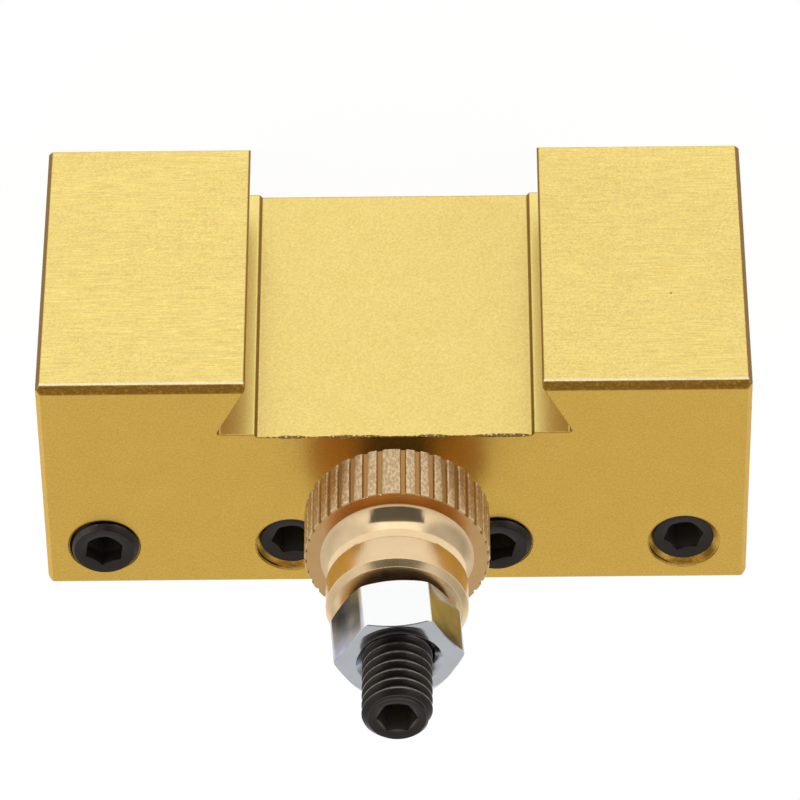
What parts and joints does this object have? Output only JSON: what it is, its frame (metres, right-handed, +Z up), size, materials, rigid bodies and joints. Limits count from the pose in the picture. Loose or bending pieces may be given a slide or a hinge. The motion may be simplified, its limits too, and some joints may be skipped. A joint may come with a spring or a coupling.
{
  "type": "quick change tool holder",
  "caption": "Small lathe quick change tool holder: gold anodised block with a dovetail, a tool slot, socket clamp screws and a knurled height nut with a lock nut on a stud.",
  "frame": {"origin": "centre of the block's bottom face", "axes": "+X along the tool slot, +Y towards the tool post, out of the dovetail face, +Z up along the clamp screws and the height stud"},
  "size_m": [0.06, 0.023, 0.0571],
  "materials": {
    "gold_anodised": "gold anodised aluminium, matte on the faces, brushed on the pads",
    "black_oxide": "alloy steel with a thin oiled black oxide",
    "turned_brass": "bare turned brass",
    "zinc_plate": "bright zinc plated steel"
  },
  "bodies": {
    "holder": {"holder_body": "gold_anodised", "height_stud": "black_oxide"},
    "clamp_screw_1": {"clamp_screw_1": "black_oxide"},
    "clamp_screw_2": {"clamp_screw_2": "black_oxide"},
    "clamp_screw_3": {"clamp_screw_3": "black_oxide"},
    "clamp_screw_4": {"clamp_screw_4": "black_oxide"},
    "thumb_nut": {"thumb_nut": "turned_brass"},
    "lock_nut": {"lock_nut": "zinc_plate"}
  },
  "joints": [
    {"name": "clamp_screw_1_travel", "type": "slide", "parent": "holder", "child": "clamp_screw_1", "axis": [0, 0, 1], "range_m": [-0.005, 0.002]},
    {"name": "clamp_screw_2_travel", "type": "slide", "parent": "holder", "child": "clamp_screw_2", "axis": [0, 0, 1], "range_m": [-0.004, 0.003]},
    {"name": "clamp_screw_3_travel", "type": "slide", "parent": "holder", "child": "clamp_screw_3", "axis": [0, 0, 1], "range_m": [-0.005, 0.002]},
    {"name": "clamp_screw_4_travel", "type": "slide", "parent": "holder", "child": "clamp_screw_4", "axis": [0, 0, 1], "range_m": [-0.004, 0.003]},
    {"name": "thumb_nut_travel", "type": "slide", "parent": "holder", "child": "thumb_nut", "axis": [0, 0, 1], "range_m": [-0.003, 0.005]},
    {"name": "lock_nut_travel", "type": "slide", "parent": "thumb_nut", "child": "lock_nut", "axis": [0, 0, 1], "range_m": [-0.00045, 0.0015]}
  ]
}
